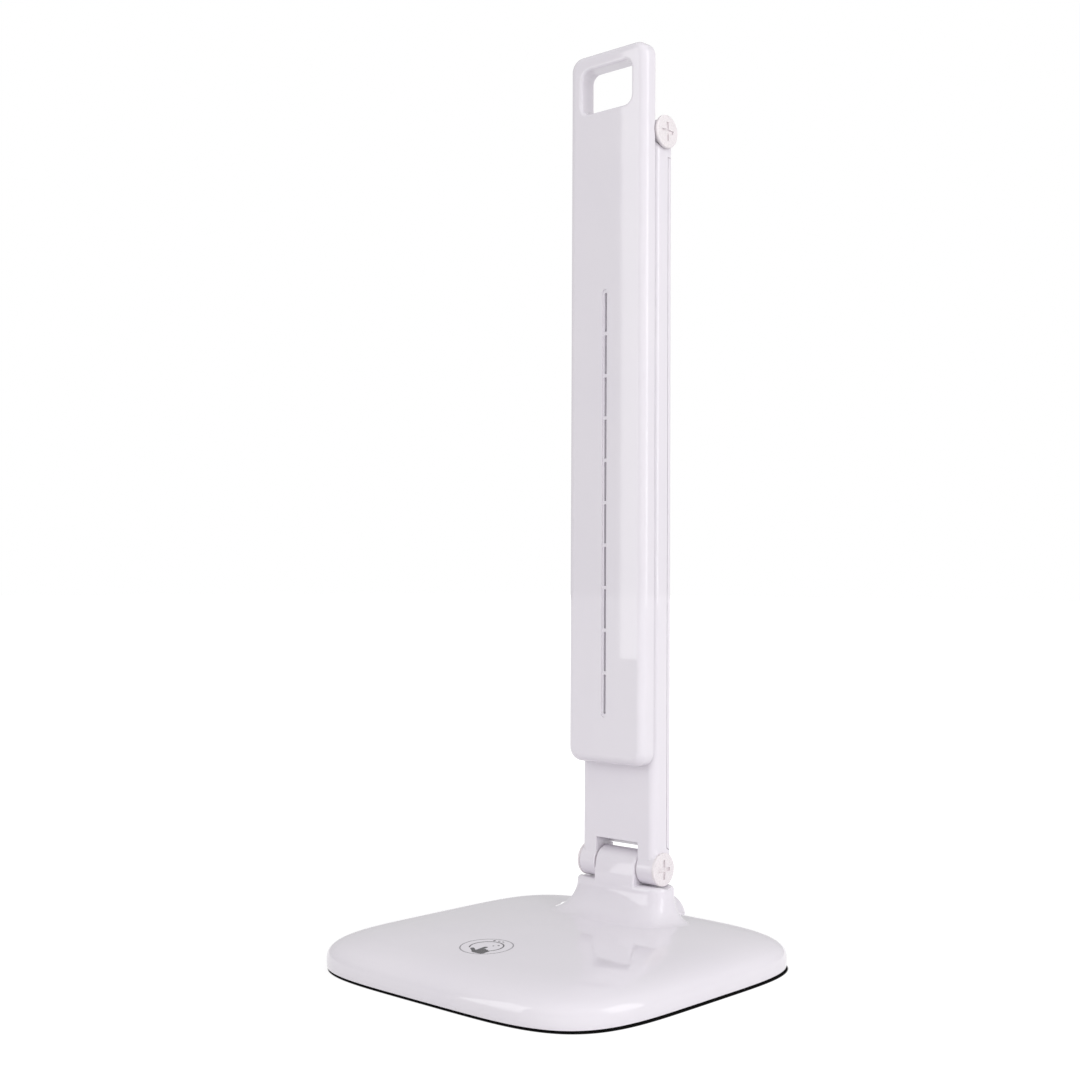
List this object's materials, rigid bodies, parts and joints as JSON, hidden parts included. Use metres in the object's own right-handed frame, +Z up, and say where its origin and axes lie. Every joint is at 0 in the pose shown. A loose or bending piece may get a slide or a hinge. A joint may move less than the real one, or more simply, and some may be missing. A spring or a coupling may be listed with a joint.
{
  "type": "folding desk lamp",
  "caption": "Folding LED desk lamp: a weighted rounded-square base with a neck, a flat arm hinged to it, and a long flat light head that folds down against the arm.",
  "frame": {"origin": "middle of the base, on the surface it stands on, under the centre of the bounding box", "axes": "+Z up, +X to the lamp's right when its front is seen, front faces -Y; both hinge axes run along X"},
  "size_m": [0.17, 0.168, 0.4224],
  "materials": {
    "white_shell": "glossy off-white with a faint lavender cast",
    "cap_plastic": "satin cream white",
    "black_plastic": "matte",
    "lead_sheath": "matte",
    "foot_rubber": "matte",
    "steel": "satin",
    "ballast_steel": "rough black oxide",
    "bearing_brass": "satin",
    "spring_metal": "satin",
    "green_board": "satin solder mask",
    "dark_parts": "matte",
    "dark_aluminium": "dark anodised",
    "white_board": "satin solder mask",
    "led_yellow": "glossy",
    "reflector_white": "matte",
    "clear_acrylic": "clear, polished",
    "opal_acrylic": "opal, fine matte"
  },
  "bodies": {
    "base": {"base_shell": "white_shell", "base_plate": "black_plastic", "base_feet": "foot_rubber", "base_screws": "steel", "ballast": "ballast_steel", "ballast_screws": "steel", "touch_board": "green_board", "board_parts": "dark_parts", "board_screws": "steel", "touch_spring": "spring_metal", "dc_socket": "black_plastic", "dc_pin": "steel", "base_lead": "lead_sheath", "lower_bushes": "bearing_brass"},
    "arm": {"arm_shell": "white_shell", "arm_cover": "white_shell", "arm_screws": "steel", "lower_shaft": "steel", "lower_washers": "bearing_brass", "lower_caps": "cap_plastic", "arm_lead": "lead_sheath", "upper_bushes": "bearing_brass"},
    "head": {"head_cover": "white_shell", "head_frame": "white_shell", "heat_plate": "dark_aluminium", "led_boards": "white_board", "leds": "led_yellow", "reflector": "reflector_white", "light_guide": "clear_acrylic", "diffuser": "opal_acrylic", "head_screws": "steel", "upper_shaft": "steel", "upper_washers": "bearing_brass", "upper_spacers": "cap_plastic", "upper_caps": "cap_plastic", "head_lead": "lead_sheath"}
  },
  "joints": [
    {"name": "lower_hinge", "type": "hinge", "parent": "base", "child": "arm", "pos_m": [0, 0.0474, 0.0394], "axis": [1, 0, 0], "range_deg": [-30, 90]},
    {"name": "upper_hinge", "type": "hinge", "parent": "arm", "child": "head", "pos_m": [0, 0.0474, 0.3819], "axis": [-1, 0, 0], "range_deg": [0, 180]}
  ]
}
